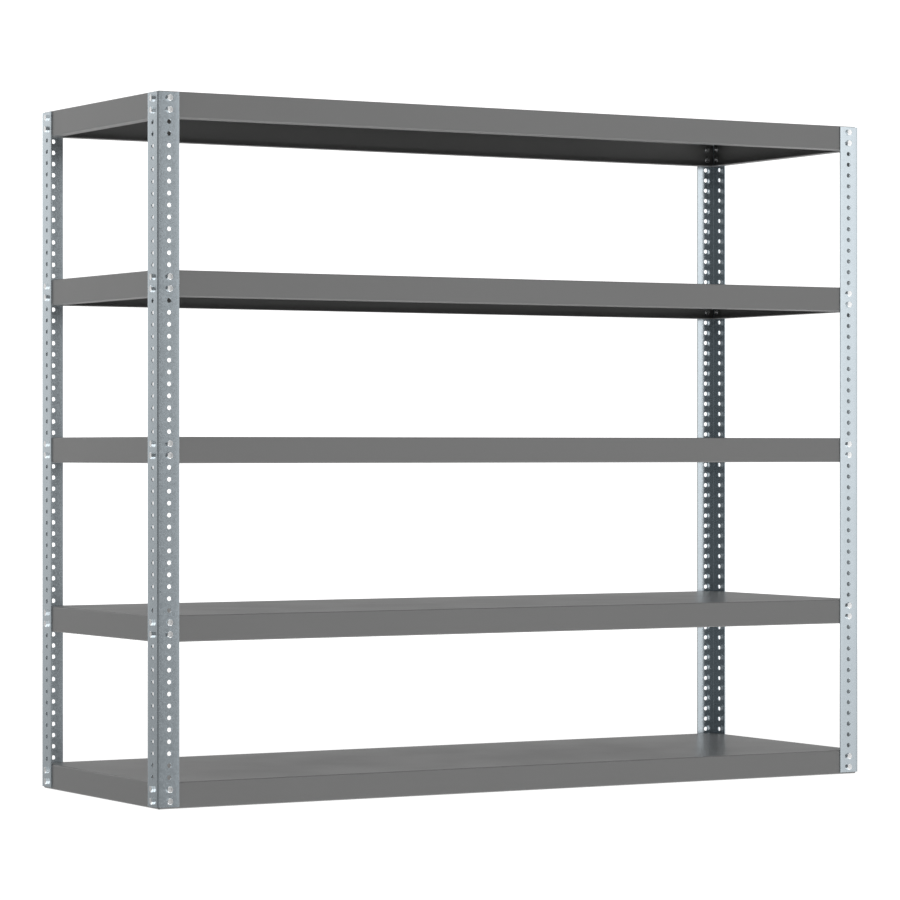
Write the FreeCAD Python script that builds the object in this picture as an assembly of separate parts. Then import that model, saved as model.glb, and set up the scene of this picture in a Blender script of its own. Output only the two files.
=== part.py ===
# Bolted steel shelving unit: four perforated angle posts, five box-formed sheet
# shelves, and a hex bolt and nut in two holes of each flange at every shelf corner.
#
# Frame: millimetres, +Z up, X along the width, Y along the depth, front at -Y.
# The origin is the bottom centre of the unit. The lowest shelf's underside reaches
# a little below the ends of the posts, so the unit rests on that shelf's lips.

import FreeCAD, Part
import math
import os

# ---------------------------------------------------------------- driving dimensions

# The unit, measured over the outer faces of the posts
UNIT_WIDTH = 1828.8
UNIT_DEPTH = 609.6
POST_HEIGHT = 1524.0
SHELF_COUNT = 5

# Hex bolt and nut, 5/16 inch
BOLT_DIAMETER = 7.94
BOLT_LENGTH = 15.9
BOLT_END_CHAMFER = 0.8
HEX_ACROSS_FLATS = 12.7
HEAD_HEIGHT = 5.2
NUT_HEIGHT = 6.75
NUT_BORE_CLEARANCE = 0.16
HEX_CHAMFER_FLAT = 0.95
HEX_CHAMFER_ANGLE = 30.0
FIRST_HEX_TURN = 17.0
HEX_TURN_STEP = 23.0

# Angle posts
POST_LEG = 50.8
POST_WALL = 2.66
POST_INNER_RADIUS = 0.6
HOLE_PITCH = 25.4
HOLE_FROM_HEEL = 27.0
HOLE_FROM_END = 12.7
HOLE_CLEARANCE = 2.06

# Shelves
SHELF_WALL = 1.9
SHELF_INNER_RADIUS = 1.1
SHELF_LIP = 25.4
DECK_ABOVE_BOLT = 14.5
BOLT_ABOVE_UNDERSIDE = 16.8
CORNER_CLEARANCE = 0.6

# ---------------------------------------------------------------- worked-out sizes

ROUNDING = 1e-6

HOLE_DIAMETER = BOLT_DIAMETER + HOLE_CLEARANCE
HOLE_COUNT = 1 + math.floor((POST_HEIGHT - 2 * HOLE_FROM_END) / HOLE_PITCH + ROUNDING)
FIRST_HOLE_Z = max(BOLT_ABOVE_UNDERSIDE, HOLE_FROM_END)
POST_BOTTOM_Z = FIRST_HOLE_Z - HOLE_FROM_END

SHELF_WIDTH = UNIT_WIDTH - 2 * POST_WALL
SHELF_DEPTH = UNIT_DEPTH - 2 * POST_WALL
SHELF_HEIGHT = DECK_ABOVE_BOLT + HOLE_PITCH + BOLT_ABOVE_UNDERSIDE
SHELF_BEND_RADIUS = SHELF_INNER_RADIUS + SHELF_WALL
CORNER_SETBACK = SHELF_BEND_RADIUS + CORNER_CLEARANCE

HEX_SIDES = 6
HEX_TURN_PERIOD = 360.0 / HEX_SIDES
HEX_CORNER_RADIUS = HEX_ACROSS_FLATS / 2 / math.cos(math.radians(HEX_TURN_PERIOD / 2))
HEX_FACE_RADIUS = HEX_CHAMFER_FLAT * HEX_ACROSS_FLATS / 2

CUTTER_REACH = 5.0

# The posts are one shape turned about Z: heel position as signs of X and Y, and turn
CORNERS = {
    "front_left": (-1, -1, 0.0),
    "front_right": (1, -1, 90.0),
    "rear_right": (1, 1, 180.0),
    "rear_left": (-1, 1, 270.0),
}

ORIGIN = FreeCAD.Vector(0, 0, 0)
X_AXIS = FreeCAD.Vector(1, 0, 0)
Y_AXIS = FreeCAD.Vector(0, 1, 0)
Z_AXIS = FreeCAD.Vector(0, 0, 1)


# ---------------------------------------------------------------- small helpers

def bend_arc(centre, radius, start_angle):
    """A quarter-circle edge about centre in the (first, second) plane, as three points."""
    points = []
    for step in (0.0, 45.0, 90.0):
        angle = math.radians(start_angle + step)
        points.append((centre[0] + radius * math.cos(angle), centre[1] + radius * math.sin(angle)))
    return points


def outline_face(segments, to_point):
    """A face bounded by segments of two points (a line) or three points (an arc)."""
    edges = []
    for segment in segments:
        corners = [to_point(*pair) for pair in segment]
        if len(corners) == 2:
            edges.append(Part.LineSegment(*corners).toShape())
        else:
            edges.append(Part.Arc(*corners).toShape())
    return Part.Face(Part.Wire(Part.__sortEdges__(edges)))


def cylinder(radius, start, direction, length):
    """A round cutter from a point along a direction."""
    return Part.makeCylinder(radius, length, start, direction)


def hole_z(index):
    """Height of a post hole, counted from 0 at the bottom."""
    return FIRST_HOLE_Z + index * HOLE_PITCH


def lower_hole(level):
    """Index of the lower of the two holes that hold a shelf, level 0 being the lowest."""
    return math.floor(level * (HOLE_COUNT - 2) / (SHELF_COUNT - 1))


def at_corner(shape, corner):
    """Turns a shape from the corner frame, heel at the origin and legs on +X and +Y."""
    side_x, side_y, turn = CORNERS[corner]
    placed = shape.copy()
    placed.rotate(ORIGIN, Z_AXIS, turn)
    placed.translate(FreeCAD.Vector(side_x * UNIT_WIDTH / 2, side_y * UNIT_DEPTH / 2, 0))
    return placed


# ---------------------------------------------------------------- angle post

def post_section():
    """The L section of the post, heel at the origin."""
    outer = POST_INNER_RADIUS + POST_WALL
    bend_centre = (outer, outer)
    outside_bend = bend_arc(bend_centre, outer, 180.0)
    inside_bend = bend_arc(bend_centre, POST_INNER_RADIUS, 180.0)
    segments = [
        outside_bend,
        [(outer, 0), (POST_LEG, 0)],
        [(POST_LEG, 0), (POST_LEG, POST_WALL)],
        [(POST_LEG, POST_WALL), (outer, POST_WALL)],
        inside_bend,
        [(POST_WALL, outer), (POST_WALL, POST_LEG)],
        [(POST_WALL, POST_LEG), (0, POST_LEG)],
        [(0, POST_LEG), (0, outer)],
    ]
    return outline_face(segments, lambda x, y: FreeCAD.Vector(x, y, POST_BOTTOM_Z))


def post_holes():
    """Cutters for one column of round holes down each flange."""
    reach = POST_WALL + 2 * CUTTER_REACH
    cutters = []
    for index in range(HOLE_COUNT):
        z = hole_z(index)
        front = FreeCAD.Vector(HOLE_FROM_HEEL, -CUTTER_REACH, z)
        side = FreeCAD.Vector(-CUTTER_REACH, HOLE_FROM_HEEL, z)
        cutters.append(cylinder(HOLE_DIAMETER / 2, front, Y_AXIS, reach))
        cutters.append(cylinder(HOLE_DIAMETER / 2, side, X_AXIS, reach))
    return cutters


def make_post():
    """An angle post, in the corner frame."""
    blank = post_section().extrude(Z_AXIS * POST_HEIGHT)
    return blank.cut(Part.makeCompound(post_holes()))


# ---------------------------------------------------------------- shelf

def shelf_side(length):
    """One folded side of a shelf: bend, apron, bend and return lip, outer face at y = 0.

    The side runs along X about x = 0, with the deck's top at z = 0. Its lip is mitred at
    both ends, so that it meets the lips of the neighbouring sides without touching them.
    """
    radius = SHELF_BEND_RADIUS
    inner = SHELF_INNER_RADIUS
    wall = SHELF_WALL
    bottom = -SHELF_HEIGHT
    upper_centre = (radius, -radius)
    lower_centre = (radius, bottom + radius)
    segments = [
        bend_arc(upper_centre, radius, 90.0),
        [(0, -radius), (0, bottom + radius)],
        bend_arc(lower_centre, radius, 180.0),
        [(radius, bottom), (SHELF_LIP, bottom)],
        [(SHELF_LIP, bottom), (SHELF_LIP, bottom + wall)],
        [(SHELF_LIP, bottom + wall), (radius, bottom + wall)],
        bend_arc(lower_centre, inner, 180.0),
        [(wall, bottom + radius), (wall, -radius)],
        bend_arc(upper_centre, inner, 90.0),
        [(radius, -wall), (radius, 0)],
    ]
    half = length / 2 - CORNER_SETBACK
    section = outline_face(segments, lambda y, z: FreeCAD.Vector(-half, y, z))
    side = section.extrude(X_AXIS * 2 * half)
    return side.cut(Part.makeCompound([mitre_cutter(length, -1), mitre_cutter(length, 1)]))


def mitre_cutter(length, end):
    """A wedge that trims a lip along a 45 degree line from the shelf's corner."""
    start = SHELF_BEND_RADIUS
    deep = SHELF_LIP + CUTTER_REACH
    z = -SHELF_HEIGHT - CUTTER_REACH
    outline = []
    for from_end, inward in ((CORNER_SETBACK, start), (deep + CORNER_CLEARANCE, deep), (0, deep), (0, start)):
        outline.append(FreeCAD.Vector(end * (length / 2 - from_end), inward, z))
    outline.append(outline[0])
    wedge = Part.Face(Part.makePolygon(outline))
    return wedge.extrude(Z_AXIS * (CUTTER_REACH + 2 * SHELF_WALL))


def deck_plate():
    """The flat deck between the bends, with a square relief at each corner."""
    half_width = SHELF_WIDTH / 2 - SHELF_BEND_RADIUS
    half_depth = SHELF_DEPTH / 2 - SHELF_BEND_RADIUS
    start = FreeCAD.Vector(-half_width, -half_depth, -SHELF_WALL)
    plate = Part.makeBox(2 * half_width, 2 * half_depth, SHELF_WALL, start)
    reliefs = []
    for side_x in (-1, 1):
        for side_y in (-1, 1):
            size = 2 * CORNER_CLEARANCE
            corner = FreeCAD.Vector(
                side_x * half_width - CORNER_CLEARANCE,
                side_y * half_depth - CORNER_CLEARANCE,
                -SHELF_WALL - CUTTER_REACH,
            )
            reliefs.append(Part.makeBox(size, size, SHELF_WALL + 2 * CUTTER_REACH, corner))
    return plate.cut(Part.makeCompound(reliefs))


def apron_holes():
    """Cutters for the bolt holes, two in each apron at each corner."""
    reach = SHELF_WALL + 2 * CUTTER_REACH
    hole_x = UNIT_WIDTH / 2 - HOLE_FROM_HEEL
    hole_y = UNIT_DEPTH / 2 - HOLE_FROM_HEEL
    cutters = []
    for z in (-DECK_ABOVE_BOLT, -DECK_ABOVE_BOLT - HOLE_PITCH):
        for side_x in (-1, 1):
            for side_y in (-1, 1):
                along_y = FreeCAD.Vector(side_x * hole_x, side_y * (SHELF_DEPTH / 2 + CUTTER_REACH), z)
                along_x = FreeCAD.Vector(side_x * (SHELF_WIDTH / 2 + CUTTER_REACH), side_y * hole_y, z)
                cutters.append(cylinder(HOLE_DIAMETER / 2, along_y, Y_AXIS * -side_y, reach))
                cutters.append(cylinder(HOLE_DIAMETER / 2, along_x, X_AXIS * -side_x, reach))
    return cutters


def make_shelf():
    """A box-formed shelf, centred on the Z axis with its deck's top at z = 0."""
    sides = []
    for length, turn, offset in (
        (SHELF_WIDTH, 0.0, FreeCAD.Vector(0, -SHELF_DEPTH / 2, 0)),
        (SHELF_DEPTH, 90.0, FreeCAD.Vector(SHELF_WIDTH / 2, 0, 0)),
        (SHELF_WIDTH, 180.0, FreeCAD.Vector(0, SHELF_DEPTH / 2, 0)),
        (SHELF_DEPTH, 270.0, FreeCAD.Vector(-SHELF_WIDTH / 2, 0, 0)),
    ):
        side = shelf_side(length)
        side.rotate(ORIGIN, Z_AXIS, turn)
        side.translate(offset)
        sides.append(side)
    tray = deck_plate().multiFuse(sides).removeSplitter()
    return tray.cut(Part.makeCompound(apron_holes()))


# ---------------------------------------------------------------- fasteners

def hex_prism(height, turn):
    """A hexagonal prism on +Z, turned about its axis."""
    radius = HEX_CORNER_RADIUS
    outline = []
    for corner in range(HEX_SIDES + 1):
        angle = math.radians(turn + HEX_TURN_PERIOD * corner)
        outline.append(FreeCAD.Vector(radius * math.cos(angle), radius * math.sin(angle), 0))
    return Part.Face(Part.makePolygon(outline)).extrude(Z_AXIS * height)


def chamfer_blank(height, both_ends):
    """A turned blank that takes the corners off a hex prism at its outer end or at both."""
    face, corner = HEX_FACE_RADIUS, HEX_CORNER_RADIUS
    drop = (corner - face) * math.tan(math.radians(HEX_CHAMFER_ANGLE))
    profile = [(0, 0)]
    profile += [(face, 0), (corner, drop)] if both_ends else [(corner, 0)]
    profile += [(corner, height - drop), (face, height), (0, height), (0, 0)]
    outline = Part.makePolygon([FreeCAD.Vector(radius, 0, z) for radius, z in profile])
    return Part.Face(outline).revolve(ORIGIN, Z_AXIS, 360)


def make_bolt(turn):
    """A hex bolt on the Z axis: head below z = 0, shank above it."""
    head = hex_prism(HEAD_HEIGHT, turn).common(chamfer_blank(HEAD_HEIGHT, both_ends=False))
    head.rotate(ORIGIN, X_AXIS, 180)
    radius = BOLT_DIAMETER / 2
    straight = BOLT_LENGTH - BOLT_END_CHAMFER
    shank = Part.makeCylinder(radius, straight)
    point = Part.makeCone(radius, radius - BOLT_END_CHAMFER, BOLT_END_CHAMFER, Z_AXIS * straight)
    return head.multiFuse([shank, point]).removeSplitter()


def make_nut(turn):
    """A hex nut on the Z axis, seated where the post flange and the shelf apron end."""
    blank = hex_prism(NUT_HEIGHT, turn).common(chamfer_blank(NUT_HEIGHT, both_ends=True))
    bore = Part.makeCylinder((BOLT_DIAMETER + NUT_BORE_CLEARANCE) / 2, NUT_HEIGHT)
    nut = blank.cut(bore)
    nut.translate(Z_AXIS * (POST_WALL + SHELF_WALL))
    return nut


def corner_fasteners(make_one, level, first_index):
    """Four bolts or nuts of one shelf corner, in the corner frame."""
    pieces = []
    index = first_index
    for hole in (lower_hole(level), lower_hole(level) + 1):
        z = hole_z(hole)
        for through_front_leg in (True, False):
            piece = make_one((FIRST_HEX_TURN + HEX_TURN_STEP * index) % HEX_TURN_PERIOD)
            if through_front_leg:
                piece.rotate(ORIGIN, X_AXIS, -90)
                piece.translate(FreeCAD.Vector(HOLE_FROM_HEEL, 0, z))
            else:
                piece.rotate(ORIGIN, Y_AXIS, 90)
                piece.translate(FreeCAD.Vector(0, HOLE_FROM_HEEL, z))
            pieces.append(piece)
            index += 1
    return Part.makeCompound(pieces)


# ---------------------------------------------------------------- assembly

def build_nodes():
    """All sub-parts in place, by node name."""
    nodes = {}
    post = make_post()
    for corner in CORNERS:
        nodes["post_" + corner] = at_corner(post, corner)
    shelf = make_shelf()
    index = 0
    for level in range(SHELF_COUNT):
        name = "shelf_%d" % (level + 1)
        placed = shelf.copy()
        placed.translate(Z_AXIS * (hole_z(lower_hole(level) + 1) + DECK_ABOVE_BOLT))
        nodes[name] = placed
        for corner in CORNERS:
            bolts = corner_fasteners(make_bolt, level, index)
            nuts = corner_fasteners(make_nut, level, index + 1)
            nodes["bolts_%s_%s" % (name, corner)] = at_corner(bolts, corner)
            nodes["nuts_%s_%s" % (name, corner)] = at_corner(nuts, corner)
            index += len(bolts.Solids)
    return nodes


def main():
    os.makedirs("parts", exist_ok=True)
    for name, shape in build_nodes().items():
        shape.exportStep(os.path.join("parts", name + ".step"))


main()
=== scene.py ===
"""Bolted steel shelving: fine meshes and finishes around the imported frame.

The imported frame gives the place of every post, shelf, bolt and nut. This script stands a finer
mesh in for each of them, at the same size and place: perforated angle posts with punched rims,
folded shelves with round bends, hex bolts with a cut thread, and hex nuts. What repeats is made
by Geometry Nodes, and every finish is procedural.
"""

from __future__ import annotations

import logging
import math
from dataclasses import dataclass
from enum import Enum
from functools import partial
from itertools import product
from typing import Any, Callable, Iterable, Sequence

import bmesh
import bpy
from mathutils import Matrix, Vector
from mathutils.geometry import tessellate_polygon

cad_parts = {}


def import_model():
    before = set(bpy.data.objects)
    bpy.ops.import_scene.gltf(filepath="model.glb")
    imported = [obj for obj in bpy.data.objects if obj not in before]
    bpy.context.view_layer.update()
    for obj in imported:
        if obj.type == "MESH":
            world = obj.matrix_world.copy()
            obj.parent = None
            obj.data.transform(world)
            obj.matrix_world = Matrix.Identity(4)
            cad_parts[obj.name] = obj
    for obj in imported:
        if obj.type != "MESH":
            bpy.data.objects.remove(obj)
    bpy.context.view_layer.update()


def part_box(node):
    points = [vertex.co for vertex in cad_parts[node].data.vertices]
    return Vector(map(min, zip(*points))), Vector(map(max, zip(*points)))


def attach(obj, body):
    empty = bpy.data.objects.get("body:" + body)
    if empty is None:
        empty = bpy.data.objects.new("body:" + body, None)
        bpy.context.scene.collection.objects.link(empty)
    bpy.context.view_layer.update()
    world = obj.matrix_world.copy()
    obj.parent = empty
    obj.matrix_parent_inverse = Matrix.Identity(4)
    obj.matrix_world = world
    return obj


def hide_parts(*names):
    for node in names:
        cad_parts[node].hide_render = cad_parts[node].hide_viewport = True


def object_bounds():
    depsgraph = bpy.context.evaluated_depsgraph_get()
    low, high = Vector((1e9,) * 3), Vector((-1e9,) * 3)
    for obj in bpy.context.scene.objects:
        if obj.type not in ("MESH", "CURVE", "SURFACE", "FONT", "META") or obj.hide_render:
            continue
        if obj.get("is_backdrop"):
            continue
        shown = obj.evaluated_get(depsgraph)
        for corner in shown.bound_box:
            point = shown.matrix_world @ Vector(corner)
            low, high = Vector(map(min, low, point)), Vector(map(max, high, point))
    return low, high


Point = tuple[float, float, float]
Pair = tuple[float, float]
Colour = tuple[float, float, float, float]
Curve = Callable[[float], float] | float

LOG = logging.getLogger("shelving")

MM = 0.001
WELD = 1e-6
BODY = "root"
SHELF_COUNT = 5

# Sizes that posts, shelves and fasteners share. A shelf's corners are inside the posts, and each
# has a square field with the line of the bolt holes in its middle.
POST_WALL = 2.66 * MM
SHELF_WALL = 1.9 * MM
HOLE_PITCH = 25.4 * MM
HOLE_FROM_HEEL = 27.0 * MM
HOLE_FROM_CORNER = HOLE_FROM_HEEL - POST_WALL
CORNER_FIELD = 2 * HOLE_FROM_CORNER
HOLE_RADIUS = 5.0 * MM
HOLE_SIDES = 24
DECK_ABOVE_BOLT = 14.5 * MM

# Least angle of a sharp edge, in degrees, and the weight of the largest face at a corner.
SHEET_SHARP_ANGLE = 35.0
FASTENER_SHARP_ANGLE = 28.0
FACE_WEIGHT = 100

# What the finishes share: detail of their noises, where most noise lies, depth of their bumps.
SOFT_DETAIL = 1.0
ROUGH_DETAIL = 3.0
NOISE_REACH = (0.3, 0.7)
BUMP_DEPTH = 0.02 * MM
WHITE = (1.0, 1.0, 1.0, 1.0)


class Corner(Enum):
    """A corner of the unit: its name, the signs of X and Y at its heel, and its post's turn."""

    FRONT_LEFT = ("front_left", -1, -1, 0.0)
    FRONT_RIGHT = ("front_right", 1, -1, 90.0)
    REAR_RIGHT = ("rear_right", 1, 1, 180.0)
    REAR_LEFT = ("rear_left", -1, 1, 270.0)

    def __init__(self, label: str, side_x: int, side_y: int, turn: float) -> None:
        """Names the parts of the value."""
        self.label = label
        self.side_x = side_x
        self.side_y = side_y
        self.turn = turn

    def matrix(self) -> Matrix:
        """The place of this corner's post: heel at the origin, flanges along +X and +Y."""
        low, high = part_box("post_" + self.label)
        x = low.x if self.side_x < 0 else high.x
        y = low.y if self.side_y < 0 else high.y
        return Matrix.Translation((x, y, low.z)) @ Matrix.Rotation(math.radians(self.turn), 4, "Z")


class Slot(Enum):
    """The record's material slots."""

    POST = "galvanised_steel"
    SHELF = "shelf_paint"
    BOLT = "zinc_bolt"
    NUT = "zinc_nut"


# ---------------------------------------------------------------- meshes


class MeshBuilder:
    """Collects faces by their corner points and welds them into one mesh."""

    def __init__(self) -> None:
        """Starts with no faces."""
        self.points: list[Point] = []
        self.faces: list[list[int]] = []

    def face(self, points: Iterable[Sequence[float]]) -> None:
        """Adds one face.

        Args:
            points: the face's corners, anticlockwise seen from outside.
        """
        first = len(self.points)
        self.points += [tuple(point) for point in points]
        self.faces.append(list(range(first, len(self.points))))

    def band(self, first: Sequence[Point], second: Sequence[Point], closed: bool = False) -> None:
        """Joins two rows of points with quads.

        Args:
            first: the first row.
            second: the second row, with as many points.
            closed: whether the rows are loops.
        """
        count = len(first)
        for index in range(count if closed else count - 1):
            after = (index + 1) % count
            self.face((first[index], first[after], second[after], second[index]))

    def loops(self, rows: Sequence[Sequence[Point]]) -> None:
        """Joins each closed row of points to the next."""
        for first, second in zip(rows, rows[1:]):
            self.band(first, second, closed=True)

    def fill(self, outlines: Sequence[Sequence[Point]]) -> None:
        """Fills a flat outline with holes in it.

        Args:
            outlines: the outer outline, then one outline for each hole.
        """
        points = [point for outline in outlines for point in outline]
        vectors = [[Vector(point) for point in outline] for outline in outlines]
        for triangle in tessellate_polygon(vectors):
            self.face([points[index] for index in triangle])

    def mesh(self, name: str, outward: bool = False) -> bpy.types.Mesh:
        """Makes the mesh.

        Args:
            name: the mesh's name.
            outward: turns the faces of a closed shape outwards.

        Returns:
            The welded mesh.
        """
        made = bpy.data.meshes.new(name)
        made.from_pydata(self.points, [], self.faces)
        work = bmesh.new()
        work.from_mesh(made)
        bmesh.ops.remove_doubles(work, verts=work.verts, dist=WELD)
        if outward:
            bmesh.ops.recalc_face_normals(work, faces=work.faces)
        work.to_mesh(made)
        work.free()
        return made


def arc(centre: Pair, radius: float, start: float, end: float, steps: int) -> list[Pair]:
    """Points of an arc in a plane, ends included.

    Args:
        centre: the arc's centre.
        radius: its radius.
        start: angle of the first point, in degrees.
        end: angle of the last point, in degrees.
        steps: the number of straight pieces.

    Returns:
        The points in order.
    """
    points = []
    for step in range(steps + 1):
        angle = math.radians(start + (end - start) * step / steps)
        points.append((centre[0] + radius * math.cos(angle), centre[1] + radius * math.sin(angle)))
    return points


def turns(count: int) -> list[float]:
    """The angles in radians of this many points, evenly spaced round a circle."""
    return [2 * math.pi * step / count for step in range(count)]


def ring(radius: Curve, height: Curve, angles: Sequence[float]) -> list[Point]:
    """A loop of points about the Z axis.

    Args:
        radius: the distance from the axis, or a function that gives it at an angle.
        height: the height, or a function that gives it at an angle.
        angles: the points' angles in radians.

    Returns:
        The loop.
    """
    points = []
    for angle in angles:
        out = radius(angle) if callable(radius) else radius
        up = height(angle) if callable(height) else height
        points.append((out * math.cos(angle), out * math.sin(angle), up))
    return points


def link(mesh: bpy.types.Mesh, name: str) -> bpy.types.Object:
    """Puts a mesh in the scene as an object at the origin."""
    made = bpy.data.objects.new(name, mesh)
    bpy.context.scene.collection.objects.link(made)
    return made


def baked(source: bpy.types.Object, name: str) -> bpy.types.Object:
    """Turns an object and its modifiers into a plain mesh object.

    Args:
        source: the object, which is removed.
        name: the new object's name.

    Returns:
        The plain object.
    """
    bpy.context.view_layer.update()
    evaluated = source.evaluated_get(bpy.context.evaluated_depsgraph_get())
    mesh = bpy.data.meshes.new_from_object(evaluated)
    source.modifiers.clear()
    bpy.data.objects.remove(source)
    mesh.name = name
    return link(mesh, name)


def shaded(source: bpy.types.Object, name: str, sharp_angle: float) -> bpy.types.Object:
    """Smooths the round stretches and keeps the flat faces flat and the corners sharp.

    Args:
        source: a mesh object, which is removed.
        name: the new object's name.
        sharp_angle: the least angle of a sharp edge, in degrees.

    Returns:
        The shaded object, with its normals stored in its mesh.
    """
    source.data.shade_smooth()
    source.data.set_sharp_from_angle(angle=math.radians(sharp_angle))
    weighted = source.modifiers.new("weighted normals", "WEIGHTED_NORMAL")
    weighted.keep_sharp = True
    weighted.weight = FACE_WEIGHT
    return baked(source, name)


# ---------------------------------------------------------------- node trees


class NodeGraph:
    """A node tree under construction."""

    def __init__(self, tree: bpy.types.NodeTree) -> None:
        """Keeps the tree."""
        self.tree = tree

    def plug(self, target: bpy.types.NodeSocket, value: Any) -> None:
        """Links an input to a node's output, or sets it to a plain value."""
        if isinstance(value, bpy.types.NodeSocket):
            self.tree.links.new(value, target)
        else:
            target.default_value = value

    def node(self, kind: str, links: dict[str | int, Any] | None = None, **settings: Any) -> bpy.types.Node:
        """Adds a node.

        Args:
            kind: the node's type.
            links: by input name or number, the socket, sockets or value that it takes.
            settings: the node's own settings.

        Returns:
            The node.
        """
        made = self.tree.nodes.new(kind)
        for setting, value in settings.items():
            setattr(made, setting, value)
        for key, value in (links or {}).items():
            for one in value if isinstance(value, list) else [value]:
                self.plug(made.inputs[key], one)
        return made

    def maths(self, operation: str, *values: Any) -> bpy.types.NodeSocket:
        """Adds a Math node.

        Args:
            operation: the node's operation.
            values: the sockets or numbers that it takes.

        Returns:
            The result.
        """
        return self.node("ShaderNodeMath", dict(enumerate(values)), operation=operation).outputs[0]

    def vector_maths(self, operation: str, *values: Any) -> bpy.types.NodeSocket:
        """Adds a Vector Math node.

        Args:
            operation: the node's operation, with a vector as its result.
            values: the sockets or vectors that it takes.

        Returns:
            The result.
        """
        return self.node("ShaderNodeVectorMath", dict(enumerate(values)), operation=operation).outputs[0]

    def ranged(
        self, value: bpy.types.NodeSocket, start: Pair, to: Pair, smooth: bool = False
    ) -> bpy.types.NodeSocket:
        """Maps one range of values to another.

        Args:
            value: the value to map.
            start: the two ends of the range that it has.
            to: the two ends of the range that it gets.
            smooth: eases in and out at the ends.

        Returns:
            The mapped value.
        """
        ends = {"From Min": start[0], "From Max": start[1], "To Min": to[0], "To Max": to[1]}
        kind = "SMOOTHSTEP" if smooth else "LINEAR"
        made = self.node("ShaderNodeMapRange", {"Value": value, **ends}, interpolation_type=kind)
        return made.outputs["Result"]


class GeometryTree(NodeGraph):
    """A Geometry Nodes tree with named inputs."""

    def __init__(self, name: str) -> None:
        """Makes an empty tree with a geometry input and output."""
        super().__init__(bpy.data.node_groups.new(name, "GeometryNodeTree"))
        self.tree.is_modifier = True
        self.tree.interface.new_socket("Geometry", in_out="INPUT", socket_type="NodeSocketGeometry")
        self.tree.interface.new_socket("Geometry", in_out="OUTPUT", socket_type="NodeSocketGeometry")
        self.source = self.tree.nodes.new("NodeGroupInput")
        self.target = self.tree.nodes.new("NodeGroupOutput")
        self.identifiers: dict[str, str] = {}

    def input(self, name: str, kind: str) -> bpy.types.NodeSocket:
        """Adds a named input.

        Args:
            name: the input's name.
            kind: the socket's type, such as Float, Int, Object or Material.

        Returns:
            The socket inside the tree.
        """
        socket = self.tree.interface.new_socket(name, in_out="INPUT", socket_type="NodeSocket" + kind)
        self.identifiers[name] = socket.identifier
        return self.source.outputs[name]

    def finish(self, geometry: bpy.types.NodeSocket, material: bpy.types.NodeSocket) -> None:
        """Ends the tree in Realize Instances and Set Material."""
        real = self.node("GeometryNodeRealizeInstances", {"Geometry": geometry})
        finished = self.node("GeometryNodeSetMaterial", {"Geometry": real.outputs[0], "Material": material})
        self.tree.links.new(finished.outputs[0], self.target.inputs[0])

    def apply(self, source: bpy.types.Object, name: str, values: dict[str, Any]) -> bpy.types.Object:
        """Runs the tree on an object and keeps the result as a plain mesh.

        Args:
            source: the object that the tree starts from, which is removed.
            name: the result's name.
            values: by input name, the value to use.

        Returns:
            The plain object.
        """
        modifier = source.modifiers.new(self.tree.name, "NODES")
        modifier.node_group = self.tree
        for key, value in values.items():
            modifier[self.identifiers[key]] = value
        return baked(source, name)


def column_tree() -> GeometryTree:
    """A tree that stacks slices into a column, closes both ends and welds the seams."""
    tree = GeometryTree("stacked column")
    piece = tree.input("Slice", "Object")
    end = tree.input("End Cap", "Object")
    count = tree.input("Hole Count", "Int")
    pitch = tree.input("Hole Pitch", "Float")
    finish = tree.input("Finish", "Material")
    step = tree.node("ShaderNodeCombineXYZ", {"Z": pitch})
    line = tree.node("GeometryNodeMeshLine", {"Count": count, "Offset": step.outputs[0]}, mode="OFFSET")
    slices = tree.node("GeometryNodeObjectInfo", {"Object": piece})
    links = {"Points": line.outputs[0], "Instance": slices.outputs["Geometry"]}
    stack = tree.node("GeometryNodeInstanceOnPoints", links)
    cap = tree.node("GeometryNodeObjectInfo", {"Object": end}).outputs["Geometry"]
    foot = tree.node("GeometryNodeFlipFaces", {"Mesh": cap})
    lift = tree.node("ShaderNodeCombineXYZ", {"Z": tree.maths("MULTIPLY", count, pitch)})
    head = tree.node("GeometryNodeTransform", {"Geometry": cap, "Translation": lift.outputs[0]})
    parts = [stack.outputs[0], foot.outputs[0], head.outputs[0]]
    joined = tree.node("GeometryNodeJoinGeometry", {"Geometry": parts})
    real = tree.node("GeometryNodeRealizeInstances", {"Geometry": joined.outputs[0]})
    welded = tree.node("GeometryNodeMergeByDistance", {"Geometry": real.outputs[0], "Distance": WELD})
    tree.finish(welded.outputs[0], finish)
    return tree


def fastener_tree() -> GeometryTree:
    """A tree that sets one bolt or nut on each point, turned about its own axis by its number."""
    tree = GeometryTree("fasteners on points")
    piece = tree.input("Fastener", "Object")
    first = tree.input("First Turn", "Float")
    step = tree.input("Turn Step", "Float")
    finish = tree.input("Finish", "Material")
    number = tree.node("GeometryNodeInputIndex").outputs[0]
    own = tree.node("ShaderNodeCombineXYZ", {"Z": tree.maths("MULTIPLY_ADD", number, step, first)})
    spun = tree.node("FunctionNodeEulerToRotation", {0: own.outputs[0]})
    facing = tree.node("GeometryNodeInputNamedAttribute", {"Name": "facing"}, data_type="FLOAT_VECTOR")
    aimed = tree.node("FunctionNodeEulerToRotation", {0: facing.outputs[0]})
    links = {0: aimed.outputs[0], 1: spun.outputs[0]}
    both = tree.node("FunctionNodeRotateRotation", links, rotation_space="LOCAL")
    shape = tree.node("GeometryNodeObjectInfo", {"Object": piece}).outputs["Geometry"]
    links = {"Points": tree.source.outputs[0], "Instance": shape, "Rotation": both.outputs[0]}
    placed = tree.node("GeometryNodeInstanceOnPoints", links)
    tree.finish(placed.outputs[0], finish)
    return tree


# ---------------------------------------------------------------- finishes


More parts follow.
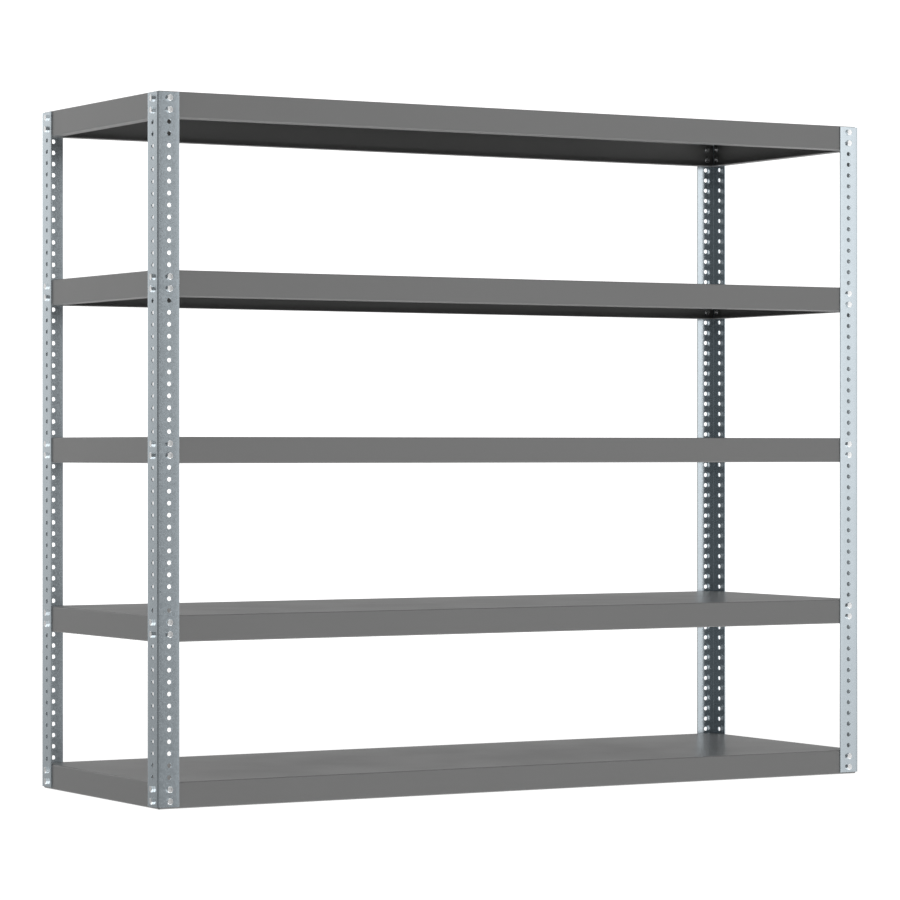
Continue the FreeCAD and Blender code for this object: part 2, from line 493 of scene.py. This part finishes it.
class ShaderGraph(NodeGraph):
    """A material's node graph around one Principled shader."""

    def __init__(self, name: str) -> None:
        """Makes the material with its shader and object coordinates."""
        self.material = bpy.data.materials.new(name)
        self.material.use_nodes = True
        super().__init__(self.material.node_tree)
        self.tree.nodes.clear()
        self.shader = self.tree.nodes.new("ShaderNodeBsdfPrincipled")
        output = self.tree.nodes.new("ShaderNodeOutputMaterial")
        self.tree.links.new(self.shader.outputs[0], output.inputs["Surface"])
        self.place = self.node("ShaderNodeTexCoord").outputs["Object"]

    def set(self, values: dict[str, Any]) -> None:
        """Sets or links the shader's own inputs, by name."""
        for key, value in values.items():
            self.plug(self.shader.inputs[key], value)

    def noise(self, size: float, detail: float, output: str = "Fac") -> bpy.types.NodeSocket:
        """Adds soft noise.

        Args:
            size: about how big its lumps are, in metres.
            detail: how many finer layers it has.
            output: Fac for a value from 0 to 1, or Color for three of them.

        Returns:
            The noise.
        """
        links = {"Vector": self.place, "Scale": 1.0 / size, "Detail": detail}
        return self.node("ShaderNodeTexNoise", links).outputs[output]

    def mixed(self, factor: bpy.types.NodeSocket, first: Any, second: Any) -> bpy.types.NodeSocket:
        """Mixes two colours."""
        made = self.node("ShaderNodeMix", {0: factor, 6: first, 7: second}, data_type="RGBA")
        return made.outputs[2]

    def bump(self, height: bpy.types.NodeSocket, strength: float) -> bpy.types.NodeSocket:
        """A bump normal for a height from 0 to 1."""
        links = {"Height": height, "Distance": BUMP_DEPTH, "Strength": strength}
        return self.node("ShaderNodeBump", links).outputs[0]


@dataclass(frozen=True)
class GalvanisedSheet:
    """Hot-dip zinc on rolled sheet: a fine spangle that changes tone and gloss from grain to grain."""

    name: str = "galvanised sheet"
    light: Colour = (0.605, 0.675, 0.72, 1.0)
    dark: Colour = (0.545, 0.61, 0.65, 1.0)
    grain: float = 3.2 * MM
    fleck: float = 1.1 * MM
    tone_reach: Pair = (0.35, 1.65)
    gloss_reach: Pair = (0.2, 1.8)
    gloss: Pair = (0.15, 0.23)
    bump: float = 0.2

    def build(self) -> bpy.types.Material:
        """Makes the material."""
        graph = ShaderGraph(self.name)
        warp = graph.noise(self.grain, SOFT_DETAIL, "Color")
        offset = graph.vector_maths("SUBTRACT", warp, (0.5, 0.5, 0.5))
        pushed = graph.vector_maths("MULTIPLY_ADD", offset, (self.grain,) * 3, graph.place)
        spangle = graph.node("ShaderNodeTexVoronoi", {"Vector": pushed, "Scale": 1 / self.grain})
        tone = graph.node("ShaderNodeSeparateColor", {0: spangle.outputs["Color"]})
        fleck = graph.noise(self.fleck, ROUGH_DETAIL)
        blend = graph.maths("ADD", tone.outputs[0], fleck)
        shade = graph.ranged(blend, self.tone_reach, (0.0, 1.0))
        graph.set(
            {
                "Base Color": graph.mixed(shade, self.dark, self.light),
                "Metallic": 1.0,
                "Roughness": graph.ranged(blend, self.gloss_reach, self.gloss),
                "Normal": graph.bump(fleck, self.bump),
            }
        )
        return graph.material


@dataclass(frozen=True)
class ShelfEnamel:
    """Baked grey enamel: even colour, a soft sheen and a faint orange peel."""

    name: str = "shelf enamel"
    first: Colour = (0.187, 0.188, 0.187, 1.0)
    second: Colour = (0.197, 0.198, 0.197, 1.0)
    peel: float = 2.4 * MM
    cloud: float = 140 * MM
    gloss: Pair = (0.29, 0.34)
    bump: float = 0.25
    ior: float = 1.5

    def build(self) -> bpy.types.Material:
        """Makes the material."""
        graph = ShaderGraph(self.name)
        cloud = graph.noise(self.cloud, SOFT_DETAIL)
        peel = graph.noise(self.peel, SOFT_DETAIL)
        graph.set(
            {
                "Base Color": graph.mixed(cloud, self.first, self.second),
                "Roughness": graph.ranged(cloud, NOISE_REACH, self.gloss),
                "Normal": graph.bump(peel, self.bump),
                "IOR": self.ior,
            }
        )
        return graph.material


@dataclass(frozen=True)
class ZincPlate:
    """Bright zinc plate on a forged or cut fastener, a little cloudy."""

    name: str
    light: Colour = (0.96, 0.97, 0.975, 1.0)
    dark: Colour = (0.88, 0.90, 0.91, 1.0)
    cloud: float = 2.0 * MM
    gloss: Pair = (0.20, 0.27)
    bump: float = 0.08

    def build(self) -> bpy.types.Material:
        """Makes the material."""
        graph = ShaderGraph(self.name)
        cloud = graph.noise(self.cloud, ROUGH_DETAIL)
        graph.set(
            {
                "Base Color": graph.mixed(cloud, self.dark, self.light),
                "Metallic": 1.0,
                "Roughness": graph.ranged(cloud, NOISE_REACH, self.gloss),
                "Normal": graph.bump(cloud, self.bump),
            }
        )
        return graph.material


# ---------------------------------------------------------------- angle posts


@dataclass(frozen=True)
class AnglePost:
    """An equal-leg angle post with one column of punched holes down each flange.

    The post is built in its corner frame: heel on the Z axis, flanges along +X and +Y, foot at
    z = 0. One slice, a hole pitch high, is stacked to the post's height.
    """

    leg: float = 50.8 * MM
    inner_radius: float = 0.6 * MM
    rim: float = 0.22 * MM
    edge_round: float = 0.35 * MM
    bend_steps: int = 4
    edge_steps: int = 2

    def fan(self) -> list[float]:
        """Tangents of the angles from -45 to 45 degrees that a hole's sides take."""
        steps = HOLE_SIDES // 4
        return [math.tan(math.radians(-45 + 90 * step / steps)) for step in range(steps + 1)]

    def rows(self) -> list[float]:
        """Heights of a slice's rows of points."""
        return [HOLE_PITCH / 2 * (1 + tangent) for tangent in self.fan()]

    def cell_sides(self) -> Pair:
        """Where the square cell round a hole starts and ends along the flange."""
        return HOLE_FROM_HEEL - HOLE_PITCH / 2, HOLE_FROM_HEEL + HOLE_PITCH / 2

    def outline(self) -> list[list[Pair]]:
        """Half of the section in plan, from the bend's outside to its inside round one flange.

        Returns:
            Three runs of points, with the outer and the inner hole cell between them.
        """
        outer = self.inner_radius + POST_WALL
        near, far = self.cell_sides()
        round_ = self.edge_round
        bend = arc((outer, outer), outer, 225, 270, self.bend_steps)
        inside = arc((outer, outer), self.inner_radius, 270, 225, self.bend_steps)
        tip = arc((self.leg - round_, round_), round_, 270, 360, self.edge_steps)
        tip += arc((self.leg - round_, POST_WALL - round_), round_, 0, 90, self.edge_steps)
        return [
            bend + [(near, 0.0)],
            [(far, 0.0)] + tip + [(far, POST_WALL)],
            [(near, POST_WALL)] + inside,
        ]

    def cell_loops(self) -> list[list[Point]]:
        """The loops round a hole, from the outer face's cell to the inner face's."""
        middle = (HOLE_FROM_HEEL, HOLE_PITCH / 2)
        half = HOLE_PITCH / 2
        fan = self.fan()
        square = [(half * t, -half) for t in fan[:-1]] + [(half, half * t) for t in fan[:-1]]
        square += [(-half * t, half) for t in fan[:-1]] + [(-half, -half * t) for t in fan[:-1]]

        def loop(depth: float, radius: float | None) -> list[Point]:
            """A loop at a depth in the flange: the cell's square, or a circle."""
            points = []
            for x, z in square:
                scale = 1.0 if radius is None else radius / math.hypot(x, z)
                points.append((middle[0] + x * scale, depth, middle[1] + z * scale))
            return points

        return [
            loop(0.0, None),
            loop(0.0, HOLE_RADIUS + self.rim),
            loop(self.rim, HOLE_RADIUS),
            loop(POST_WALL, HOLE_RADIUS),
            loop(POST_WALL, None),
        ]

    def slice_mesh(self) -> bpy.types.Mesh:
        """One slice of the post, open at its top and bottom."""
        builder = MeshBuilder()
        rows = self.rows()
        for mirrored in (False, True):
            half = MeshBuilder()
            for run in self.outline():
                for low, high in zip(rows, rows[1:]):
                    half.band([(x, y, low) for x, y in run], [(x, y, high) for x, y in run])
            half.loops(self.cell_loops())
            for face in half.faces:
                corners = [half.points[index] for index in face]
                if mirrored:
                    corners = [(y, x, z) for x, y, z in reversed(corners)]
                builder.face(corners)
        return builder.mesh("post slice")

    def cap_mesh(self) -> bpy.types.Mesh:
        """The sheared end of the post, facing up at z = 0."""
        outer_run, tip_run, inner_run = self.outline()
        across = [HOLE_FROM_HEEL + HOLE_PITCH / 2 * tangent for tangent in self.fan()[1:-1]]
        half = outer_run + [(x, 0.0) for x in across] + tip_run
        half += [(x, POST_WALL) for x in reversed(across)] + inner_run
        other = [(y, x) for x, y in reversed(half)]
        builder = MeshBuilder()
        builder.face([(x, y, 0.0) for x, y in half + other[1:-1]])
        return builder.mesh("post end")

    def build(self, corner: Corner, tree: GeometryTree, finish: bpy.types.Material) -> None:
        """Makes one corner's post.

        Args:
            corner: the corner it stands at.
            tree: the tree that stacks the slices.
            finish: its material.
        """
        node = "post_" + corner.label
        low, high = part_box(node)
        piece = link(self.slice_mesh(), "post slice")
        cap = link(self.cap_mesh(), "post end")
        values = {
            "Slice": piece,
            "End Cap": cap,
            "Hole Count": round((high.z - low.z) / HOLE_PITCH),
            "Hole Pitch": HOLE_PITCH,
            "Finish": finish,
        }
        column = tree.apply(link(bpy.data.meshes.new("post start"), "post start"), "post column", values)
        bpy.data.objects.remove(piece)
        bpy.data.objects.remove(cap)
        column.data.transform(corner.matrix())
        seated(shaded(column, "perforated_" + node, SHEET_SHARP_ANGLE), Slot.POST, node)


# ---------------------------------------------------------------- shelves


@dataclass(frozen=True)
class FoldedShelf:
    """A shelf folded from one sheet: deck, four aprons, four mitred return lips, open corners."""

    inner_radius: float = 1.1 * MM
    lip: float = 25.4 * MM
    corner_clearance: float = 0.6 * MM
    bend_steps: int = 6

    @property
    def bend(self) -> float:
        """Outside radius of the bends."""
        return self.inner_radius + SHELF_WALL

    @property
    def setback(self) -> float:
        """How far the folded sides stop short of the shelf's corners."""
        return self.bend + self.corner_clearance

    def section(self, height: float) -> list[Pair]:
        """One folded side's section: inward distance and height below the deck.

        Args:
            height: the shelf's whole height.

        Returns:
            The points from the deck's top face round the lip to the deck's underside.
        """
        upper = (self.bend, -self.bend)
        lower = (self.bend, self.bend - height)
        steps = self.bend_steps
        outside = arc(upper, self.bend, 90, 180, steps) + arc(lower, self.bend, 180, 270, steps)
        edge = [(self.lip, -height), (self.lip, SHELF_WALL - height)]
        inside = arc(lower, self.inner_radius, 270, 180, steps)
        inside += arc(upper, self.inner_radius, 180, 90, steps)
        return outside + edge + inside

    def stations(self, length: float, inward: float) -> list[float]:
        """Where a side's strips are divided along its length, at an inward distance.

        Args:
            length: the side's length between the shelf's corners.
            inward: the distance from the side's outer face.

        Returns:
            Two ends and two inner stations.
        """
        end = length / 2 - max(self.setback, inward + self.corner_clearance)
        inner = length / 2 - CORNER_FIELD
        return [-end, -inner, inner, end]

    def holes(self, length: float) -> list[Pair]:
        """Centres of an apron's bolt holes: two at its first end, then two at its other end."""
        heights = (-DECK_ABOVE_BOLT, -DECK_ABOVE_BOLT - HOLE_PITCH)
        across = length / 2 - HOLE_FROM_CORNER
        return [(side * across, z) for side in (-1, 1) for z in heights]

    def hole_loop(self, centre: Pair, depth: float) -> list[Point]:
        """The loop of a bolt hole in a face of an apron."""
        x, z = centre
        radius = HOLE_RADIUS
        angles = turns(HOLE_SIDES)
        return [(x + radius * math.cos(a), depth, z + radius * math.sin(a)) for a in angles]

    def side(self, builder: MeshBuilder, length: float, height: float, place: Matrix) -> None:
        """Adds one folded side, built along X with its outer face at y = 0.

        Args:
            builder: the mesh to add to.
            length: the side's length between the shelf's corners.
            height: the shelf's whole height.
            place: where the side goes.
        """
        local = MeshBuilder()
        section = self.section(height)
        holes = self.holes(length)
        for (u1, z1), (u2, z2) in zip(section, section[1:]):
            first = [(x, u1, z1) for x in self.stations(length, u1)]
            second = [(x, u2, z2) for x in self.stations(length, u2)]
            if abs(z1 - z2) < HOLE_PITCH:
                local.band(first, second)
                continue
            # A face of the apron itself: plain in the middle, with two holes at each end.
            local.face((first[1], first[2], second[2], second[1]))
            for start, pair in ((0, holes[:2]), (2, holes[2:])):
                panel = [first[start], first[start + 1], second[start + 1], second[start]]
                local.fill([panel] + [self.hole_loop(hole, u1) for hole in pair])
        for hole in holes:
            local.band(self.hole_loop(hole, 0.0), self.hole_loop(hole, SHELF_WALL), closed=True)
        for end in (0, -1):
            self.side_end(local, [(self.stations(length, u)[end], u, z) for u, z in section])
        for face in local.faces:
            builder.face([place @ Vector(local.points[index]) for index in face])

    @staticmethod
    def side_end(builder: MeshBuilder, ends: Sequence[Point]) -> None:
        """Closes one end of a side: the cut across its apron and bends, and the lip's mitre.

        Args:
            builder: the mesh to add to.
            ends: the end points of the section's strips, whose middle two are the lip's edge.
        """
        middle = len(ends) // 2
        builder.face([*ends[:middle - 1], *ends[middle + 1:]])
        builder.face(ends[middle - 2:middle + 2])

    def deck(self, builder: MeshBuilder, width: float, depth: float) -> None:
        """Adds the deck's two faces and the walls of its corner reliefs.

        Args:
            builder: the mesh to add to.
            width: the shelf's width.
            depth: the shelf's depth.
        """
        lines = []
        for size in (width, depth):
            edge = size / 2 - self.bend
            inner = size / 2 - CORNER_FIELD
            lines.append([-edge, -inner, inner, edge])
        signs = product((-1, 1), repeat=2)
        corners = [self.corner(width, depth, side_x, side_y) for side_x, side_y in signs]
        for z in (0.0, -SHELF_WALL):
            for column, (x1, x2) in enumerate(zip(lines[0], lines[0][1:])):
                for row, (y1, y2) in enumerate(zip(lines[1], lines[1][1:])):
                    if 1 in (column, row):
                        builder.face(((x1, y1, z), (x2, y1, z), (x2, y2, z), (x1, y2, z)))
            for corner in corners:
                builder.face((x, y, z) for x, y in corner)
        for corner in corners:
            cut = corner[:3]
            builder.band([(x, y, 0.0) for x, y in cut], [(x, y, -SHELF_WALL) for x, y in cut])

    def corner(self, width: float, depth: float, side_x: int, side_y: int) -> list[Pair]:
        """Outline of a corner field of the deck.

        Args:
            width: the shelf's width.
            depth: the shelf's depth.
            side_x: which end of the width, -1 or 1.
            side_y: which end of the depth, -1 or 1.

        Returns:
            The points in order, the first three being the relief cut into the corner.
        """
        insets = (self.setback, self.bend, CORNER_FIELD)
        end_x, edge_x, in_x = (side_x * (width / 2 - inset) for inset in insets)
        end_y, edge_y, in_y = (side_y * (depth / 2 - inset) for inset in insets)
        cut = [(end_x, edge_y), (end_x, end_y), (edge_x, end_y)]
        return cut + [(edge_x, in_y), (in_x, in_y), (in_x, edge_y)]

    def build(self, level: int, finish: bpy.types.Material) -> None:
        """Makes one shelf.

        Args:
            level: the shelf's number, 1 being the lowest.
            finish: its material.
        """
        node = f"shelf_{level}"
        low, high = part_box(node)
        size = high - low
        builder = MeshBuilder()
        for quarter, (length, across) in enumerate([(size.x, size.y), (size.y, size.x)] * 2):
            turn = Matrix.Rotation(math.radians(90 * quarter), 4, "Z")
            self.side(builder, length, size.z, turn @ Matrix.Translation((0, -across / 2, 0)))
        self.deck(builder, size.x, size.y)
        mesh = builder.mesh(node, outward=True)
        mesh.transform(Matrix.Translation(((low.x + high.x) / 2, (low.y + high.y) / 2, high.z)))
        mesh.materials.append(finish)
        seated(shaded(link(mesh, node), "folded_" + node, SHEET_SHARP_ANGLE), Slot.SHELF, node)


# ---------------------------------------------------------------- bolts and nuts


@dataclass(frozen=True)
class HexSize:
    """The hexagon that bolts and nuts share."""

    across_flats: float = 12.7 * MM
    chamfer_share: float = 0.95
    chamfer_angle: float = 30.0
    sides: int = 24

    @property
    def face_radius(self) -> float:
        """Radius of the round face that the chamfer leaves."""
        return self.chamfer_share * self.across_flats / 2

    def radius(self, angle: float) -> float:
        """Distance from the axis to the hexagon's side at an angle."""
        sector = math.pi / 3
        return self.across_flats / 2 / math.cos(angle % sector - sector / 2)

    def drop(self, angle: float) -> float:
        """How far the chamfer has fallen where it meets the hexagon's side."""
        return (self.radius(angle) - self.face_radius) * math.tan(math.radians(self.chamfer_angle))

    def loop(self, radius: Curve, height: Curve) -> list[Point]:
        """A loop about the axis, with a point on every corner of the hexagon."""
        return ring(radius, height, turns(self.sides))

    def crown(self, face: float, way: int) -> list[list[Point]]:
        """The two loops of a chamfered end: its round face's edge and the end of its sides.

        Args:
            face: the height of the round face.
            way: 1 if the sides are above the face, -1 if they are below it.

        Returns:
            The face's loop, then the sides' loop.
        """
        return [
            self.loop(self.face_radius, face),
            self.loop(self.radius, lambda angle: face + way * self.drop(angle)),
        ]


@dataclass(frozen=True)
class Bolt:
    """A hex bolt: chamfered head with a washer face below z = 0, shank and cut thread above."""

    hexagon: HexSize = HexSize()
    head_height: float = 5.2 * MM
    washer_face: float = 0.35 * MM
    dish_radius: float = 3.6 * MM
    dish_floor_share: float = 0.55
    dish_depth: float = 0.12 * MM
    diameter: float = 7.94 * MM
    length: float = 15.9 * MM
    end_chamfer: float = 0.8 * MM
    end_step: float = 0.2 * MM
    thread_start: float = 10.6 * MM
    thread_runout: float = 0.1 * MM
    thread_pitch: float = 1.41 * MM
    thread_depth: float = 0.62 * MM
    rows_per_turn: int = 4

    def flank(self, z: float, angle: float) -> float:
        """Radius of the helical V thread at a height and an angle."""
        phase = (z / self.thread_pitch - angle / (2 * math.pi)) % 1.0
        return self.diameter / 2 - self.thread_depth * abs(2 * phase - 1)

    def thread_rows(self) -> list[list[Point]]:
        """Loops that follow the thread, up to the end chamfer."""
        reach = self.length - self.end_chamfer - self.thread_start
        count = int(reach / (self.thread_pitch / self.rows_per_turn))
        heights = [self.thread_start + reach * row / count for row in range(count + 1)]
        return [self.hexagon.loop(partial(self.flank, z), z) for z in heights]

    def mesh(self) -> bpy.types.Mesh:
        """The bolt's closed mesh about the Z axis."""
        hexagon = self.hexagon
        top = -self.head_height
        radius = self.diameter / 2
        rows = [
            hexagon.loop(self.dish_radius * self.dish_floor_share, top + self.dish_depth),
            hexagon.loop(self.dish_radius, top),
            *hexagon.crown(top, 1),
            hexagon.loop(hexagon.radius, -self.washer_face),
            hexagon.loop(hexagon.face_radius, -self.washer_face),
            hexagon.loop(hexagon.face_radius, 0.0),
            hexagon.loop(radius, 0.0),
            hexagon.loop(radius, self.thread_start - self.thread_runout),
            *self.thread_rows(),
            hexagon.loop(radius - self.thread_depth - self.end_step, self.length),
        ]
        builder = MeshBuilder()
        builder.loops(rows)
        builder.face(rows[0])
        builder.face(rows[-1])
        return builder.mesh("bolt", outward=True)


@dataclass(frozen=True)
class Nut:
    """A hex nut, chamfered and countersunk on both faces, seated on the shelf's sheet."""

    hexagon: HexSize = HexSize()
    height: float = 6.75 * MM
    bore_radius: float = 4.05 * MM
    countersink: float = 0.5 * MM
    seat: float = POST_WALL + SHELF_WALL

    def mesh(self) -> bpy.types.Mesh:
        """The nut's closed mesh about the Z axis."""
        hexagon = self.hexagon
        top = self.seat + self.height
        rim = self.bore_radius + self.countersink
        rows = [
            hexagon.loop(self.bore_radius, self.seat + self.countersink),
            hexagon.loop(rim, self.seat),
            *hexagon.crown(self.seat, 1),
            *reversed(hexagon.crown(top, -1)),
            hexagon.loop(rim, top),
            hexagon.loop(self.bore_radius, top - self.countersink),
        ]
        builder = MeshBuilder()
        builder.loops(rows + rows[:1])
        return builder.mesh("nut", outward=True)


@dataclass(frozen=True)
class Fasteners:
    """The bolts and nuts of every shelf corner, set on points in the posts' holes."""

    bolt: Bolt = Bolt()
    nut: Nut = Nut()
    first_turn: float = 17.0
    turn_step: float = 23.0
    turn_period: float = 60.0
    per_corner: int = 4

    def build(self) -> None:
        """Makes the bolts and nuts of every shelf corner."""
        tree = fastener_tree()
        kinds = (
            ("bolts", self.bolt.mesh(), ZincPlate("bolt zinc").build(), Slot.BOLT),
            ("nuts", self.nut.mesh(), ZincPlate("nut zinc").build(), Slot.NUT),
        )
        for first_number, (word, mesh, finish, slot) in enumerate(kinds):
            shape = link(mesh, "one of the " + word)
            for index, (level, corner) in enumerate(product(range(1, SHELF_COUNT + 1), Corner)):
                node = f"{word}_shelf_{level}_{corner.label}"
                number = first_number + index * self.per_corner
                first = (self.first_turn + self.turn_step * number) % self.turn_period
                values = {
                    "Fastener": shape,
                    "First Turn": math.radians(first),
                    "Turn Step": math.radians(self.turn_step),
                    "Finish": finish,
                }
                made = tree.apply(self.places(level), node, values)
                made.data.transform(corner.matrix())
                seated(shaded(made, "hex_" + node, FASTENER_SHARP_ANGLE), slot, node)
            bpy.data.objects.remove(shape)

    @staticmethod
    def places(level: int) -> bpy.types.Object:
        """The four bolt places of a shelf corner, in the corner frame.

        Args:
            level: the shelf's number.

        Returns:
            A mesh of four points, each with the turn that aims its fastener into the post.
        """
        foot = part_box("post_" + Corner.FRONT_LEFT.label)[0].z
        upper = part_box(f"shelf_{level}")[1].z - foot - DECK_ABOVE_BOLT
        points: list[Point] = []
        facings: list[float] = []
        for z in (upper - HOLE_PITCH, upper):
            points += [(HOLE_FROM_HEEL, 0.0, z), (0.0, HOLE_FROM_HEEL, z)]
            facings += (-math.pi / 2, 0.0, 0.0, 0.0, math.pi / 2, 0.0)
        mesh = bpy.data.meshes.new("fastener places")
        mesh.from_pydata(points, [], [])
        mesh.attributes.new("facing", "FLOAT_VECTOR", "POINT").data.foreach_set("vector", facings)
        return link(mesh, "fastener places")


def seated(piece: bpy.types.Object, slot: Slot, node: str) -> None:
    """Lets a piece ride on its body and stand for its CAD node.

    Args:
        piece: the finished piece.
        slot: the material slot of its finish; not used.
        node: the CAD node it stands for.
    """
    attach(piece, BODY)
    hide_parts(node)
    LOG.info("%s: %d faces, rides on %s", piece.name, len(piece.data.polygons), BODY)


@dataclass(frozen=True)
class ShelvingUnit:
    """The whole unit: posts, shelves and fasteners."""

    post: AnglePost = AnglePost()
    shelf: FoldedShelf = FoldedShelf()
    fasteners: Fasteners = Fasteners()

    def build(self) -> None:
        """Makes every piece."""
        zinc_sheet = GalvanisedSheet().build()
        enamel = ShelfEnamel().build()
        column = column_tree()
        for corner in Corner:
            self.post.build(corner, column, zinc_sheet)
        for level in range(1, SHELF_COUNT + 1):
            self.shelf.build(level, enamel)
        self.fasteners.build()


# ---------------------------------------------------------------- studio


@dataclass(frozen=True)
class LightPanel:
    """A soft-edged bright panel of the studio's surround, with its angles in degrees.

    The bearing goes round from the front of the unit (0) towards its right (90). The elevation
    rises from the horizon. Each fade reaches as far inside an edge as outside it.
    """

    name: str
    bearing: float
    half_width: float
    low: float
    high: float
    brightness: float
    side_fade: float
    rise_fade: float


class SurroundGraph(NodeGraph):
    """The world's node graph: bright panels round a dim room."""

    def __init__(self, name: str, room: float) -> None:
        """Makes the world with an even dim room.

        Args:
            name: the world's name.
            room: the brightness of the room between the panels.
        """
        self.world = bpy.data.worlds.new(name)
        self.world.use_nodes = True
        super().__init__(self.world.node_tree)
        direction = self.node("ShaderNodeTexCoord").outputs["Generated"]
        right, back, up = self.node("ShaderNodeSeparateXYZ", {0: direction}).outputs
        front = self.maths("MULTIPLY", back, -1.0)
        self.bearing = self.maths("DEGREES", self.maths("ARCTAN2", right, front))
        self.elevation = self.maths("DEGREES", self.maths("ARCSINE", up))
        self.total = self.maths("ADD", room, 0.0)

    def add(self, panel: LightPanel) -> None:
        """Adds a panel's light."""
        aside = self.maths("SUBTRACT", self.bearing, panel.bearing)
        aside = self.maths("ABSOLUTE", self.maths("WRAP", aside, 180.0, -180.0))
        inner, outer = panel.half_width - panel.side_fade, panel.half_width + panel.side_fade
        across = self.ranged(aside, (inner, outer), (panel.brightness, 0.0), smooth=True)
        rises = [(edge - panel.rise_fade, edge + panel.rise_fade) for edge in (panel.low, panel.high)]
        above = self.ranged(self.elevation, rises[0], (0.0, 1.0), smooth=True)
        below = self.ranged(self.elevation, rises[1], (1.0, 0.0), smooth=True)
        lit = self.maths("MULTIPLY", across, self.maths("MULTIPLY", above, below))
        self.total = self.maths("ADD", self.total, lit)

    def finish(self) -> None:
        """Gives the panels' light to the world and the world to the scene."""
        background = self.tree.nodes["Background"]
        background.inputs["Color"].default_value = WHITE
        self.tree.links.new(self.total, background.inputs["Strength"])
        bpy.context.scene.world = self.world


@dataclass(frozen=True)
class Cove:
    """A plain white floor that curves up into a wall all round the unit."""

    radius: float = 16.0
    bend: float = 4.0
    height: float = 18.0
    sides: int = 96
    bend_steps: int = 12
    gap: float = 0.2 * MM
    tone: Colour = (0.4, 0.4, 0.4, 1.0)
    roughness: float = 0.9
    # Glow near the unit and far from it; the weaker glow near the unit is painted shade round its foot.
    glow: Pair = (0.90, 1.0)
    glow_reach: Pair = (1.2, 6.0)

    def build(self) -> None:
        """Lays the cove just below the unit. Only the camera sees it, so it lights nothing."""
        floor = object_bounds()[0].z - self.gap
        profile = [(self.glow_reach[1], 0.0)]
        profile += arc((self.radius - self.bend, self.bend), self.bend, 270, 360, self.bend_steps)
        profile.append((self.radius, self.height))
        rows = [ring(radius, floor + rise, turns(self.sides)) for radius, rise in profile]
        builder = MeshBuilder()
        builder.loops(rows)
        builder.face(rows[0])
        cove = link(builder.mesh("studio_cove"), "studio_cove")
        cove.data.shade_smooth()
        cove.data.materials.append(self.paper())
        cove.visible_diffuse = False
        cove.visible_glossy = False
        cove.visible_transmission = False
        cove.visible_shadow = False
        cove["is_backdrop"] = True

    def paper(self) -> bpy.types.Material:
        """White backdrop paper that glows by its own emission, more weakly near the unit: painted shade
        round the unit's foot, where its real shadow also falls.
        """
        graph = ShaderGraph("backdrop paper")
        away = graph.node("ShaderNodeVectorMath", {0: graph.place}, operation="LENGTH").outputs["Value"]
        graph.set(
            {
                "Base Color": self.tone,
                "Roughness": self.roughness,
                "Specular IOR Level": 0.0,
                "Emission Color": WHITE,
                # Painted shade: the glow is weaker near the unit.
                "Emission Strength": graph.ranged(away, self.glow_reach, self.glow, smooth=True),
            }
        )
        return graph.material


@dataclass(frozen=True)
class StudioCamera:
    """A level long-lens camera to the front left of the unit."""

    place: Point = (-4.370, -7.574, 0.7651)
    yaw: float = 29.85
    lens: float = 151.02
    sensor: float = 36.0

    def build(self) -> None:
        """Sets the camera up and makes it the scene's."""
        data = bpy.data.cameras.new("camera")
        data.sensor_width = self.sensor
        data.lens = self.lens
        camera = bpy.data.objects.new("camera", data)
        camera.location = self.place
        camera.rotation_euler = (math.pi / 2, 0.0, -math.radians(self.yaw))
        scene = bpy.context.scene
        scene.collection.objects.link(camera)
        scene.camera = camera
        scene.view_settings.view_transform = "Standard"


@dataclass(frozen=True)
class Studio:
    """The floor and its wall, soft light panels round a dim room, and the camera."""

    cove: Cove = Cove()
    camera: StudioCamera = StudioCamera()
    room: float = 0.175
    panels: tuple[LightPanel, ...] = (
        # Name, bearing, half width, low, high, brightness, side fade, rise fade.
        LightPanel("near floor", 0.0, 200.0, -120.0, -36.0, 1.6, 4.0, 6.0),
        LightPanel("far floor", 0.0, 200.0, -36.0, -20.0, 1.1, 4.0, 6.0),
        LightPanel("front fill", -3.0, 12.0, -6.0, 30.0, 0.63, 5.0, 10.0),
        LightPanel("right front strip", 33.4, 5.3, -6.5, 40.0, 1.45, 4.0, 11.0),
        LightPanel("right front fill", 62.0, 18.0, -6.0, 40.0, 0.40, 6.0, 10.0),
        LightPanel("right rear fill", 125.0, 37.0, -6.0, 30.0, 0.30, 6.0, 10.0),
        LightPanel("rear panel", 182.0, 18.0, -3.0, 40.0, 0.84, 4.0, 12.0),
        LightPanel("left rear strip", 200.6, 4.5, -3.0, 40.0, 0.96, 2.5, 10.0),
        LightPanel("left rear fill", 218.0, 14.0, -6.0, 25.0, 0.13, 6.0, 10.0),
        LightPanel("high front", 0.0, 45.0, 34.0, 66.0, 0.75, 8.0, 8.0),
        LightPanel("high left", -90.0, 45.0, 34.0, 66.0, 0.75, 8.0, 8.0),
        LightPanel("high rear", 180.0, 45.0, 34.0, 66.0, 0.5, 8.0, 8.0),
        LightPanel("high right", 90.0, 45.0, 34.0, 66.0, 0.75, 8.0, 8.0),
        LightPanel("overhead", 0.0, 200.0, 74.0, 120.0, 0.6, 8.0, 8.0),
    )

    def build(self) -> None:
        """Makes the studio around the unit."""
        self.cove.build()
        surround = SurroundGraph("studio surround", self.room)
        for panel in self.panels:
            surround.add(panel)
        surround.finish()
        self.camera.build()


def main() -> None:
    """Loads the frame and builds the unit and its studio around it."""
    logging.basicConfig(level=logging.INFO)
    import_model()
    ShelvingUnit().build()
    Studio().build()


if __name__ == "__main__":
    main()
